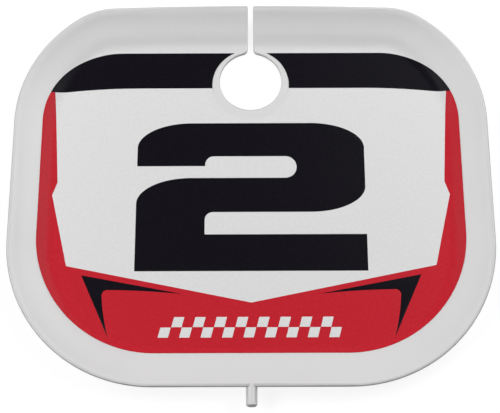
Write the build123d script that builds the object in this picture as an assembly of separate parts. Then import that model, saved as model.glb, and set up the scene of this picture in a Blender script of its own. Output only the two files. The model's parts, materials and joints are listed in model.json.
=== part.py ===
from build123d import *
from math import atan2, cos, degrees, radians, sin, sqrt
import os

# Racing number board: one dished moulding with a flared rim, a cable hole and a peg, and its printed sheet.
# Frame: the board lies on its back, +Z out of the printed face, +Y from the peg to the slit.
# The origin is the middle of the cable hole, half way through its wall. Sizes are millimetres and degrees.

# Outline of the lip: its top edge is very slightly arched
board_width = 254.0
top_reach = 41.3
bottom_reach = 171.2
top_radius = 2400.0
shoulder_radius = 36.0
shoulder_turn = 34.0
side_radius = 74.0
lower_radius = 77.0

# Wall and rim: the rim leaves the panel in a cove, eases over a crown and flares out to a bevelled lip
wall = 2.5
cove_radius = 10.7
cove_turn = 31.0
crown_radius = 39.0
crown_turn = 9.0
flare_radius = 49.0
flare_turn = 14.0
lip_bevel = 0.85

# Cable hole and the slit that lets a cable in from the top
hole_radius = 17.1
slit_mouth = 2.7
slit_foot = 3.3
slit_corner = 3.0
cut_bevel = 0.6

# Peg under the lower lip
peg_diameter = 5.8
peg_length = 9.5
peg_chamfer = 0.9
peg_root = 7.2
peg_root_diameter = 6.6

# Printed sheet: its margins are measured in from the lip
sheet_thickness = 0.25
sheet_side_margin = 14.2
sheet_top_margin = 24.5
sheet_bottom_margin = 18.9
sheet_upper_corner = 41.5
sheet_lower_corner = 63.0
notch_radius = 21.1
notch_drop = 2.3

# Black band across the top: its lower edge is level in the middle and droops towards its ends
band_edge = 4.5
band_level = 124.0
band_droop = 3.8

# Red border: its width at each corner of the white field, and where those corners are
border_top = 5.6
border_waist = 9.2
border_tip = 6.7
border_foot = 15.9
waist_drop = 59.2
tip_drop = 66.7
foot_rise = 46.5
apex_rise = 26.6

# Race number
number_width = 122.4
number_drop = 25.3
number_foot_rise = 43.5
number_base = 20.1
number_stem = 36.6
number_gap = 12.4
number_stub = 5.6
number_shoulder_across = 29.0
number_shoulder_down = 14.5
number_slot_round = 6.1
number_counter_round = 4.3
number_step_round = 4.8

# Darts in the lower corners: distance in from the sheet's side and up from its foot,
# and how far their two inner edges bow
dart_tip = (24.0, 41.5)
dart_end = (77.8, 31.1)
dart_elbow = (34.9, 33.5)
dart_point = (39.2, 7.8)
dart_level_bow = 0.6
dart_upright_bow = 0.8
dart_elbow_round = 2.8

# Chequered strip on the lower border: a hair of red keeps the corners of its squares apart
chequer_pitch = 5.5
chequer_gap = 0.2
chequer_columns = 17
chequer_rows = 2
chequer_slant = 15.0
chequer_rise = 13.7

sheet_half = board_width / 2 - sheet_side_margin
sheet_top = top_reach - sheet_top_margin
sheet_foot = sheet_bottom_margin - bottom_reach


def normal(slope):
    return Vector(-sin(radians(slope)), cos(radians(slope)))


def along(slope):
    return Vector(cos(radians(slope)), sin(radians(slope)))


rim_bends = [(cove_radius, cove_turn), (crown_radius, -crown_turn), (flare_radius, flare_turn)]
lip_slope = cove_turn - crown_turn + flare_turn


def rim_arcs(offset):
    # Tangent arcs from the fold outwards, moved by an offset along the face's normal
    arcs = []
    start = Vector(0, 0)
    slope = 0.0
    for radius, turn in rim_bends:
        side = 1 if turn > 0 else -1
        centre = start + normal(slope) * side * radius
        stations = [slope, slope + turn / 2, slope + turn]
        points = [centre - normal(angle) * (side * radius - offset) for angle in stations]
        arcs.append(ThreePointArc(*points))
        slope = slope + turn
        start = centre - normal(slope) * side * radius
    return arcs


front_arcs = rim_arcs(0)
back_arcs = rim_arcs(-wall)
lip_front = front_arcs[-1] @ 1
lip_back = back_arcs[-1] @ 1
nose_front = lip_front + (along(lip_slope) - normal(lip_slope)) * lip_bevel
nose_back = lip_back + (along(lip_slope) + normal(lip_slope)) * lip_bevel
rim_reach = nose_back.X
panel_back = -wall / 2
panel_front = wall / 2
lip_top = panel_front + lip_front.Y
fold_bottom = rim_reach - bottom_reach


def rounded(face, corners):
    # A face with some of its corners rounded, each by its own radius
    for x, y, radius in corners:
        vertex = face.vertices().sort_by_distance((x, y, 0))[0]
        face = fillet(vertex, radius)
    return face


def fold_path():
    # The line where the panel turns into the rim: the lip's outline moved in by the rim's reach
    half = board_width / 2 - rim_reach
    top = top_reach - rim_reach
    arch = top_radius - rim_reach
    tight = shoulder_radius - rim_reach
    wide = side_radius - rim_reach
    lower = lower_radius - rim_reach
    join = 90 - shoulder_turn
    arch_centre = Vector(0, top - arch)
    tight_out = half - wide + (wide - tight) * cos(radians(join))
    tight_up = sqrt((arch - tight) ** 2 - tight_out ** 2)
    arch_end = degrees(atan2(tight_up, tight_out))
    tight_centre = arch_centre + Vector(tight_out, tight_up)
    wide_centre = tight_centre - along(join) * (wide - tight)
    lower_centre = Vector(half - lower, fold_bottom + lower)
    foot = Line((0, fold_bottom), lower_centre + along(-90) * lower)
    corner = ThreePointArc(foot @ 1, lower_centre + along(-45) * lower, lower_centre + along(0) * lower)
    side = Line(corner @ 1, wide_centre + along(0) * wide)
    wide_middle = wide_centre + along(join / 2) * wide
    wide_arc = ThreePointArc(side @ 1, wide_middle, wide_centre + along(join) * wide)
    tight_middle = tight_centre + along((join + arch_end) / 2) * tight
    tight_arc = ThreePointArc(wide_arc @ 1, tight_middle, tight_centre + along(arch_end) * tight)
    head = ThreePointArc(tight_arc @ 1, arch_centre + along((arch_end + 90) / 2) * arch, (0, top))
    right = [foot, corner, side, wide_arc, tight_arc, head]
    left = [mirror(line, about=Plane.YZ) for line in right]
    return Wire([line.edge() for line in right + left])


fold = fold_path()
fold_face = make_face(fold)
rim_plane = Plane(origin=(0, fold_bottom, panel_front), x_dir=(0, -1, 0), z_dir=(-1, 0, 0))


def rim_ring(lower_arcs, upper_arcs, cap):
    # The rim's section between two offset lines, swept round the fold
    root = Line(lower_arcs[0] @ 0, upper_arcs[0] @ 0)
    section = make_face(Curve() + [root, cap] + lower_arcs + upper_arcs)
    return sweep(rim_plane * section, path=Pos(0, 0, panel_front) * fold)


def board_shell():
    lip = Polyline(lip_front, nose_front, nose_back, lip_back)
    panel = extrude(Pos(0, 0, panel_back) * fold_face, wall)
    return panel + rim_ring(back_arcs, front_arcs, lip)


def cable_cut():
    # The hole and the slit as one cut, with the slit's foot rounded into the hole
    slit_end = top_reach + wall
    slit = Polyline((-slit_foot / 2, 0), (slit_foot / 2, 0), (slit_mouth / 2, slit_end),
                    (-slit_mouth / 2, slit_end), close=True)
    outline = Circle(hole_radius) + make_face(slit)
    feet = [vertex for vertex in outline.vertices() if 0 < vertex.Y < top_reach]
    outline = fillet(feet, slit_corner)
    return extrude(Pos(0, 0, panel_back - wall) * outline, lip_top - panel_back + 2 * wall)


def peg():
    # The peg is flush with the front of the lip, and its drafted root dies into the back of the rim
    radius = peg_diameter / 2
    root_radius = peg_root_diameter / 2
    shank = peg_length - peg_chamfer
    profile = Polyline((0, -peg_root), (root_radius, -peg_root), (radius, 0), (radius, shank),
                       (radius - peg_chamfer, peg_length), (0, peg_length), close=True)
    lip_line = Plane(origin=(0, -bottom_reach, lip_top - radius), x_dir=(1, 0, 0), z_dir=(0, 0, -1))
    turned = revolve(lip_line * make_face(profile), axis=Axis(lip_line.origin, lip_line.y_dir))
    clear = lip_front.Y + peg_diameter
    above = Polyline(lip_front, (rim_reach, lip_front.Y), (rim_reach, clear), (0, clear), (0, 0))
    front_space = extrude(rim_plane * make_face(Curve() + front_arcs + [above]), root_radius, both=True)
    return turned - front_space


def build_board():
    whole = board_shell() + peg()
    cut = whole - cable_cut()
    edges = new_edges(whole, combined=cut)
    upright = edges.filter_by(Axis.Z)
    return chamfer([edge for edge in edges if edge not in upright], cut_bevel)


def sheet_layer():
    # A skin of the sheet's thickness over the whole front, panel and rim
    upper_arcs = rim_arcs(sheet_thickness)
    edge = Line(front_arcs[-1] @ 1, upper_arcs[-1] @ 1)
    flat = extrude(Pos(0, 0, panel_front) * fold_face, sheet_thickness)
    return flat + rim_ring(front_arcs, upper_arcs, edge)


def sheet_outline():
    upper = [(side * sheet_half, sheet_top, sheet_upper_corner) for side in (1, -1)]
    lower = [(side * sheet_half, sheet_foot, sheet_lower_corner) for side in (-1, 1)]
    corners = upper + lower
    square = make_face(Polyline(*[(x, y) for x, y, radius in corners], close=True))
    return rounded(square, corners) - Pos(0, -notch_drop) * Circle(notch_radius)


def band_outline():
    # The part of the sheet above a level line with drooping ends
    level = Line((-band_level / 2, -band_edge), (band_level / 2, -band_edge))
    end = -band_edge - band_droop
    right = TangentArc(level @ 1, (sheet_half, end), tangent=(1, 0))
    left = TangentArc(level @ 0, (-sheet_half, end), tangent=(-1, 0))
    frame = Polyline(right @ 1, (sheet_half, sheet_top), (-sheet_half, sheet_top), left @ 1)
    return make_face(Curve() + [level, right, left, frame])


def field_outline():
    right = [(sheet_half - border_top, -band_edge), (sheet_half - border_waist, -waist_drop),
             (sheet_half - border_tip, -tip_drop), (sheet_half - border_foot, sheet_foot + foot_rise)]
    left = [(-x, y) for x, y in reversed(right)]
    return make_face(Polyline(*right, (0, sheet_foot + apex_rise), *left, close=True))


def number_outline():
    # A plain block figure two: three bars, two gaps and the stems that join them, with wide round shoulders
    left = -number_width / 2
    right = number_width / 2
    top = -number_drop
    foot = sheet_foot + number_foot_rise
    counter_foot = foot + number_base
    bar = (top - counter_foot - 2 * number_gap) / 2
    slot_top = top - bar
    slot_foot = slot_top - number_gap
    counter_top = slot_foot - bar
    stub_foot = slot_top - number_stub
    inner_left = left + number_stem
    inner_right = right - number_stem
    across = number_shoulder_across
    down = number_shoulder_down
    centres = [(left + across, top - down, 90), (right - across, top - down, 0),
               (right - across, counter_top + down, 270), (left + across, slot_foot - down, 90)]
    shoulders = [EllipticalCenterArc((x, y), across, down, start_angle=start, arc_size=90)
                 for x, y, start in centres]
    head, bowl_top, bowl_foot, stem = shoulders
    lines = [
        Line(bowl_top @ 1, head @ 0), Line(bowl_foot @ 1, bowl_top @ 0),
        Polyline(bowl_foot @ 0, (inner_left, counter_top), (inner_left, counter_foot), (right, counter_foot),
                 (right, foot), (left, foot), stem @ 1),
        Polyline(stem @ 0, (inner_right, slot_foot), (inner_right, slot_top), (inner_left, slot_top),
                 (inner_left, stub_foot), (left, stub_foot), head @ 1)]
    return rounded(make_face(Curve() + shoulders + lines), [
        (inner_left, counter_top, number_counter_round), (inner_right, slot_foot, number_slot_round),
        (inner_right, slot_top, number_slot_round), (inner_left, slot_top, number_step_round)])


def dart_outline(side):
    # A bent dart that points outwards and down, with its inner edges bowed towards its tip
    corners = [dart_tip, dart_end, dart_elbow, dart_point]
    tip, end, elbow, point = [(side * (sheet_half - inset), sheet_foot + rise) for inset, rise in corners]
    level = SagittaArc(end, elbow, side * dart_level_bow)
    upright = SagittaArc(elbow, point, side * dart_upright_bow)
    dart = make_face(Curve() + [Line(tip, end), level, upright, Line(point, tip)])
    return rounded(dart, [(*elbow, dart_elbow_round)])


def chequer_outline():
    # Slanted squares, every second one in each row
    size = chequer_pitch - chequer_gap
    lean = sin(radians(chequer_slant))
    squares = Sketch()
    for row in range(chequer_rows):
        foot = (row - chequer_rows / 2) * chequer_pitch
        head = foot + size
        for column in range(row % 2, chequer_columns, 2):
            left = (column - chequer_columns / 2) * chequer_pitch
            right = left + size
            square = [(left, foot), (right, foot), (right, head), (left, head)]
            corners = [(x + y * lean, sheet_foot + chequer_rise + y) for x, y in square]
            squares += make_face(Polyline(*corners, close=True))
    return squares


def print_fields():
    # The sheet divided along the edges of its colours
    sheet = sheet_outline()
    band = band_outline()
    number = number_outline()
    darts = dart_outline(1) + dart_outline(-1)
    chequers = chequer_outline()
    below_band = sheet - band
    field = below_band & field_outline()
    return {
        "decal_black_band": sheet & band,
        "decal_white_field": field - number,
        "race_number": field & number,
        "decal_red_border": below_band - field - darts - chequers,
        "decal_black_darts": below_band & darts,
        "decal_white_chequers": below_band & chequers,
    }


os.makedirs("parts", exist_ok=True)
export_step(build_board(), "parts/number_board.step")
skin = sheet_layer()
for node, outline in print_fields().items():
    prism = extrude(Pos(0, 0, panel_back) * outline, lip_top - panel_back)
    export_step(skin & prism, f"parts/{node}.step")
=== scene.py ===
import json
from math import cos, pi, radians, sin

import bpy
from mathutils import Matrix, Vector


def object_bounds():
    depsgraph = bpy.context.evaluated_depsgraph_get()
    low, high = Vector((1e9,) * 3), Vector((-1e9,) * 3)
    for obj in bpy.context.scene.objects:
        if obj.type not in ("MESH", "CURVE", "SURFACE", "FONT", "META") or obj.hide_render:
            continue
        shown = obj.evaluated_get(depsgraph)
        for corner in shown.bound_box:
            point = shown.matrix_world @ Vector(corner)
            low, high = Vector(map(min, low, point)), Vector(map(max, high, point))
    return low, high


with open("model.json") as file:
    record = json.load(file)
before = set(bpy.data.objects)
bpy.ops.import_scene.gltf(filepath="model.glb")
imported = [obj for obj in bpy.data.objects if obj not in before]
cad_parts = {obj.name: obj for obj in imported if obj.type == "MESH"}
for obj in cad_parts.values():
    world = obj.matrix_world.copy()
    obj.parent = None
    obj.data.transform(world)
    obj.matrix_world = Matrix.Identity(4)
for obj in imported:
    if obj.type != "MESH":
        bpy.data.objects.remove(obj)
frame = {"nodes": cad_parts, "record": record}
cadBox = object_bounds()
middle = Vector(((cadBox[0][0] + cadBox[1][0]) / 2, (cadBox[0][1] + cadBox[1][1]) / 2, 0))
nodes = frame["nodes"]
mm = 0.001
print("frame: " + ", ".join(sorted(nodes)))

bpy.context.scene.view_settings.view_transform = "Standard"


def hexColour(code):
    # sRGB hex to the linear values that shaders take
    channels = [int(code[i:i + 2], 16) / 255 for i in (1, 3, 5)]
    linear = [c / 12.92 if c <= 0.04045 else ((c + 0.055) / 1.055) ** 2.4 for c in channels]
    return (*linear, 1.0)


def addNode(tree, kind, settings=None, links=None):
    # settings are sockets or properties by name, links are {socket: (node, output)}
    node = tree.nodes.new(kind)
    for name, value in (settings or {}).items():
        if isinstance(name, str) and name not in node.inputs:
            setattr(node, name, value)
    for name, value in (settings or {}).items():
        if not isinstance(name, str) or name in node.inputs:
            node.inputs[name].default_value = value
    for name, (source, output) in (links or {}).items():
        tree.links.new(source.outputs[output], node.inputs[name])
    return node


def newMaterial(name):
    material = bpy.data.materials.new(name)
    material.use_nodes = True
    material.node_tree.nodes.clear()
    return material, material.node_tree


# sockets of the Mix node when it mixes colours
mixA, mixB, mixResult = 6, 7, 2


# polypropylene, injection moulded against a spark-eroded steel face: an even neutral white
# with a low satin sheen, a fine stipple and a faint cloudiness where the melt flowed;
# the lip's outward bevel and top are painted a darker grey, a painted shade for its rounded edge
polypropylene = {
    "colour": "#dbdbdb",
    "cloudColour": "#d5d5d5",
    # painted shade: the grey given to the lip's outward bevel and top, for the shade on its
    # rounded edge
    "paintedLipShade": "#b8b8b8",
    "edgeLift": 0.75,         # the edge looks out from the board's middle, and up by this much:
    "edgeFrom": 0.95,         # on this scale the flat face stands near 0.75, the lip's wall
    "edgeTo": 1.05,           # near 0.85, its top near 1 and the bevel between them near 1.3
    "cloudMm": 38,            # width of one cloud of the flow
    "stippleMm": 1.3,         # the real stipple is about 0.2 mm, drawn coarser so that it shows
    "stippleDepthMm": 0.06,
    "roughness": 0.46,
    "roughnessSpread": 0.08,
    "ior": 1.49,
}


def mouldedPolypropylene():
    p = polypropylene
    material, tree = newMaterial("mouldedPolypropylene")
    place = addNode(tree, "ShaderNodeTexCoord")
    cloud = addNode(tree, "ShaderNodeTexNoise",
                    {"Scale": 1 / (p["cloudMm"] * mm), "Detail": 3.0},
                    {"Vector": (place, "Object")})
    stipple = addNode(tree, "ShaderNodeTexNoise",
                      {"Scale": 1 / (p["stippleMm"] * mm), "Detail": 2.0},
                      {"Vector": (place, "Object")})
    tint = addNode(tree, "ShaderNodeMix",
                   {"data_type": "RGBA",
                    mixA: hexColour(p["colour"]), mixB: hexColour(p["cloudColour"])},
                   {"Factor": (cloud, "Fac")})
    # how far each facet looks outward and up, which places the lip's painted shade
    facet = addNode(tree, "ShaderNodeNewGeometry")
    away = addNode(tree, "ShaderNodeVectorMath", {"operation": "SUBTRACT", 1: middle},
                   {0: (place, "Object")})
    outward = addNode(tree, "ShaderNodeVectorMath", {"operation": "NORMALIZE"},
                      {0: (away, "Vector")})
    lifted = addNode(tree, "ShaderNodeVectorMath",
                     {"operation": "ADD", 1: (0, 0, p["edgeLift"])},
                     {0: (outward, "Vector")})
    looks = addNode(tree, "ShaderNodeVectorMath", {"operation": "DOT_PRODUCT"},
                    {0: (lifted, "Vector"), 1: (facet, "True Normal")})
    # mask of the painted shade: 0 on the flat face, 1 on the lip's outward bevel
    edge = addNode(tree, "ShaderNodeMapRange",
                   {"From Min": p["edgeFrom"], "From Max": p["edgeTo"]},
                   {"Value": (looks, "Value")})
    # painted shade: the lip's outward faces are mixed towards the darker grey
    colour = addNode(tree, "ShaderNodeMix",
                     {"data_type": "RGBA", mixB: hexColour(p["paintedLipShade"])},
                     {"Factor": (edge, "Result"), mixA: (tint, mixResult)})
    sheen = addNode(tree, "ShaderNodeMapRange",
                    {"To Min": p["roughness"] - p["roughnessSpread"],
                     "To Max": p["roughness"] + p["roughnessSpread"]},
                    {"Value": (stipple, "Fac")})
    grain = addNode(tree, "ShaderNodeBump",
                    {"Strength": 1.0, "Distance": p["stippleDepthMm"] * mm},
                    {"Height": (stipple, "Fac")})
    shader = addNode(tree, "ShaderNodeBsdfPrincipled", {"IOR": p["ior"]},
                     {"Base Color": (colour, mixResult), "Roughness": (sheen, "Result"),
                      "Normal": (grain, "Normal")})
    addNode(tree, "ShaderNodeOutputMaterial", None, {"Surface": (shader, "BSDF")})
    return material


# cast vinyl film, printed and laid under a clear satin laminate: flat strong colour,
# a softly broken sheen, the laminate's orange peel and the ink's own slight mottle
vinyl = {
    "peelMm": 4.5,            # from crest to crest of the orange peel
    "peelDepthMm": 0.006,
    "mottleMm": 1.4,          # print mottle is nearer 0.5 mm, drawn coarser so that it shows
    "roughness": 0.42,
    "roughnessSpread": 0.08,
    "ior": 1.5,
    "specularLevel": 0.08,    # well under the usual 0.5, as the laminate shows little of the lamps
    "inks": {
        "vinyl_white": ("laminatedVinylWhite", "#e2e2e2", "#d4d4d4"),
        "vinyl_black": ("laminatedVinylBlack", "#08060c", "#16141c"),
        "vinyl_red": ("laminatedVinylRed", "#b51a26", "#c72b37"),
    },
}


def laminatedVinyl(name, ink, mottledInk):
    v = vinyl
    material, tree = newMaterial(name)
    place = addNode(tree, "ShaderNodeTexCoord")
    mottle = addNode(tree, "ShaderNodeTexNoise",
                     {"Scale": 1 / (v["mottleMm"] * mm), "Detail": 3.0},
                     {"Vector": (place, "Object")})
    peel = addNode(tree, "ShaderNodeTexNoise",
                   {"Scale": 1 / (v["peelMm"] * mm), "Detail": 1.0},
                   {"Vector": (place, "Object")})
    colour = addNode(tree, "ShaderNodeMix",
                     {"data_type": "RGBA", mixA: hexColour(ink), mixB: hexColour(mottledInk)},
                     {"Factor": (mottle, "Fac")})
    sheen = addNode(tree, "ShaderNodeMapRange",
                    {"To Min": v["roughness"] - v["roughnessSpread"],
                     "To Max": v["roughness"] + v["roughnessSpread"]},
                    {"Value": (mottle, "Fac")})
    skin = addNode(tree, "ShaderNodeBump",
                   {"Strength": 1.0, "Distance": v["peelDepthMm"] * mm},
                   {"Height": (peel, "Fac")})
    shader = addNode(tree, "ShaderNodeBsdfPrincipled",
                     {"IOR": v["ior"], "Specular IOR Level": v["specularLevel"]},
                     {"Base Color": (colour, mixResult), "Roughness": (sheen, "Result"),
                      "Normal": (skin, "Normal")})
    addNode(tree, "ShaderNodeOutputMaterial", None, {"Surface": (shader, "BSDF")})
    return material


# every node takes the finish of its slot in the record
finishes = {"moulded_plastic": mouldedPolypropylene()}
for slotName, (finishName, ink, mottledInk) in vinyl["inks"].items():
    finishes[slotName] = laminatedVinyl(finishName, ink, mottledInk)
print("finishes: " + ", ".join(finish.name for finish in finishes.values()))

softEdges = {
    "weldMm": 0.002,
    "weight": 80,             # above 50 the larger faces have more say in the shading
}


def dressNode(node, finish):
    # the model's faces are welded, so that light runs smoothly from panel to rim
    # and round the bevels
    node.data.materials.clear()
    node.data.materials.append(finish)
    weld = node.modifiers.new("weldedFaces", "WELD")
    weld.merge_threshold = softEdges["weldMm"] * mm
    shade = node.modifiers.new("evenShading", "WEIGHTED_NORMAL")
    shade.weight = softEdges["weight"]


for piece in frame["record"]["subparts"]:
    dressNode(nodes[piece["node"]], finishes[piece["material_slot"]])


# a sweep of white paper, as bright to the camera as the page of the photograph,
# with the board's shadow kept
paper = {
    "reach": 3.0,             # m from the middle to its upright edge
    "edge": 0.6,              # m, so that a low view ends on paper too
    "sides": 48,
    "bounce": "#888888",      # what the board gets back from it
    "shadowShare": 0.18,      # how much of what the camera sees of it is lit by the lamps
    "glow": 0.88,             # the rest of its white
}


def seenRays(tree):
    # 1 for what the camera sees directly, in a reflection or through glass
    path = addNode(tree, "ShaderNodeLightPath")
    mirrored = addNode(tree, "ShaderNodeMath", {"operation": "MAXIMUM"},
                       {0: (path, "Is Camera Ray"), 1: (path, "Is Glossy Ray")})
    return addNode(tree, "ShaderNodeMath", {"operation": "MAXIMUM"},
                   {0: (mirrored, "Value"), 1: (path, "Is Transmission Ray")})


def paperSweep():
    count = paper["sides"]
    turns = [2 * pi * i / count for i in range(count)]
    ring = [(paper["reach"] * cos(turn), paper["reach"] * sin(turn)) for turn in turns]
    floorLevel = cadBox[0][2]
    edgeLevel = floorLevel + paper["edge"]
    points = [(x, y, level) for level in (floorLevel, edgeLevel) for x, y in ring]
    upright = [(i, (i + 1) % count, (i + 1) % count + count, i + count) for i in range(count)]
    mesh = bpy.data.meshes.new("paperSweep")
    mesh.from_pydata(points, [], [tuple(range(count))] + upright)
    sweep = bpy.data.objects.new("paperSweep", mesh)
    bpy.context.scene.collection.objects.link(sweep)
    material, tree = newMaterial("whitePaper")
    lit = addNode(tree, "ShaderNodeBsdfDiffuse", {"Color": hexColour(paper["bounce"])})
    share = paper["shadowShare"]
    seenLit = addNode(tree, "ShaderNodeBsdfDiffuse", {"Color": (share, share, share, 1.0)})
    seenGlow = addNode(tree, "ShaderNodeEmission", {"Strength": paper["glow"]})
    seen = addNode(tree, "ShaderNodeAddShader", None,
                   {0: (seenLit, "BSDF"), 1: (seenGlow, "Emission")})
    mixed = addNode(tree, "ShaderNodeMixShader", None,
                    {"Fac": (seenRays(tree), "Value"), 1: (lit, "BSDF"), 2: (seen, "Shader")})
    addNode(tree, "ShaderNodeOutputMaterial", None, {"Surface": (mixed, "Shader")})
    mesh.materials.append(material)


# two large soft boxes to the sides of the board, so that none is mirrored in its flat face:
# turn is from +X round to +Y and rise is above the floor, in degrees, sizes in metres,
# and share is the part of a plain light level that each gives the printed face
studio = {
    "reach": 1.1,             # m from the board's middle to each box
    "boxes": {
        "leftBox": {"turn": 179, "rise": 45, "wide": 0.9, "tall": 0.5, "share": 0.54},
        "rightBox": {"turn": 30, "rise": 45, "wide": 0.9, "tall": 0.5, "share": 0.565},
    },
    "horizon": 0.04,          # a little light from the walls, and less from overhead
    "zenith": 0.01,
    "zenithFrom": 0.7,        # sine of the height where overhead begins
}


def softBox(name, turn, rise, wide, tall, share):
    reach = studio["reach"]
    lamp = bpy.data.lights.new(name, "AREA")
    lamp.shape = "RECTANGLE"
    lamp.size = wide
    lamp.size_y = tall
    # power that brings a white card on the floor to this share of white
    lamp.energy = share * pi ** 2 * reach ** 2 / sin(radians(rise))
    box = bpy.data.objects.new(name, lamp)
    flat = cos(radians(rise))
    out = Vector((cos(radians(turn)) * flat, sin(radians(turn)) * flat, sin(radians(rise))))
    box.location = middle + out * reach
    box.rotation_euler = out.to_track_quat("Z", "Y").to_euler()
    bpy.context.scene.collection.objects.link(box)


def darkRoom():
    world = bpy.data.worlds.new("darkRoom")
    world.use_nodes = True
    tree = world.node_tree
    tree.nodes.clear()
    place = addNode(tree, "ShaderNodeTexCoord")
    split = addNode(tree, "ShaderNodeSeparateXYZ", None, {"Vector": (place, "Generated")})
    level = addNode(tree, "ShaderNodeMapRange",
                    {"From Min": 0.0, "From Max": studio["zenithFrom"],
                     "To Min": studio["horizon"], "To Max": studio["zenith"]},
                    {"Value": (split, "Z")})
    walls = addNode(tree, "ShaderNodeBackground", {"Color": (1.0, 1.0, 1.0, 1.0)},
                    {"Strength": (level, "Result")})
    addNode(tree, "ShaderNodeOutputWorld", None, {"Surface": (walls, "Background")})
    bpy.context.scene.world = world


paperSweep()
darkRoom()
for boxName, settings in studio["boxes"].items():
    softBox(boxName, **settings)
print("studio: paper sweep, dark room and %d soft boxes" % len(studio["boxes"]))


# the photograph looks down on the board from its peg side
photoCamera = {
    "aim": (-0.00055, -0.0732, 0.0014),    # m, the middle of the picture
    "tilt": 18.7,             # degrees off the face's own normal
    "roll": -0.19,            # degrees
    "distance": 0.6299,       # m
    "lens": 85.25,            # mm, on a frame of this width
    "frameWidth": 36,
}


def placeCamera():
    c = photoCamera
    camera = bpy.data.cameras.new("photoCamera")
    camera.sensor_width = c["frameWidth"]
    camera.lens = c["lens"]
    eye = bpy.data.objects.new("photoCamera", camera)
    tilt = radians(c["tilt"])
    eye.location = Vector(c["aim"]) + Vector((0, -sin(tilt), cos(tilt))) * c["distance"]
    eye.rotation_mode = "ZYX"    # rolled first, then tilted
    eye.rotation_euler = (tilt, 0, radians(c["roll"]))
    bpy.context.scene.collection.objects.link(eye)
    bpy.context.scene.camera = eye


placeCamera()
print("camera: %.1f degrees off the face's normal" % photoCamera["tilt"])
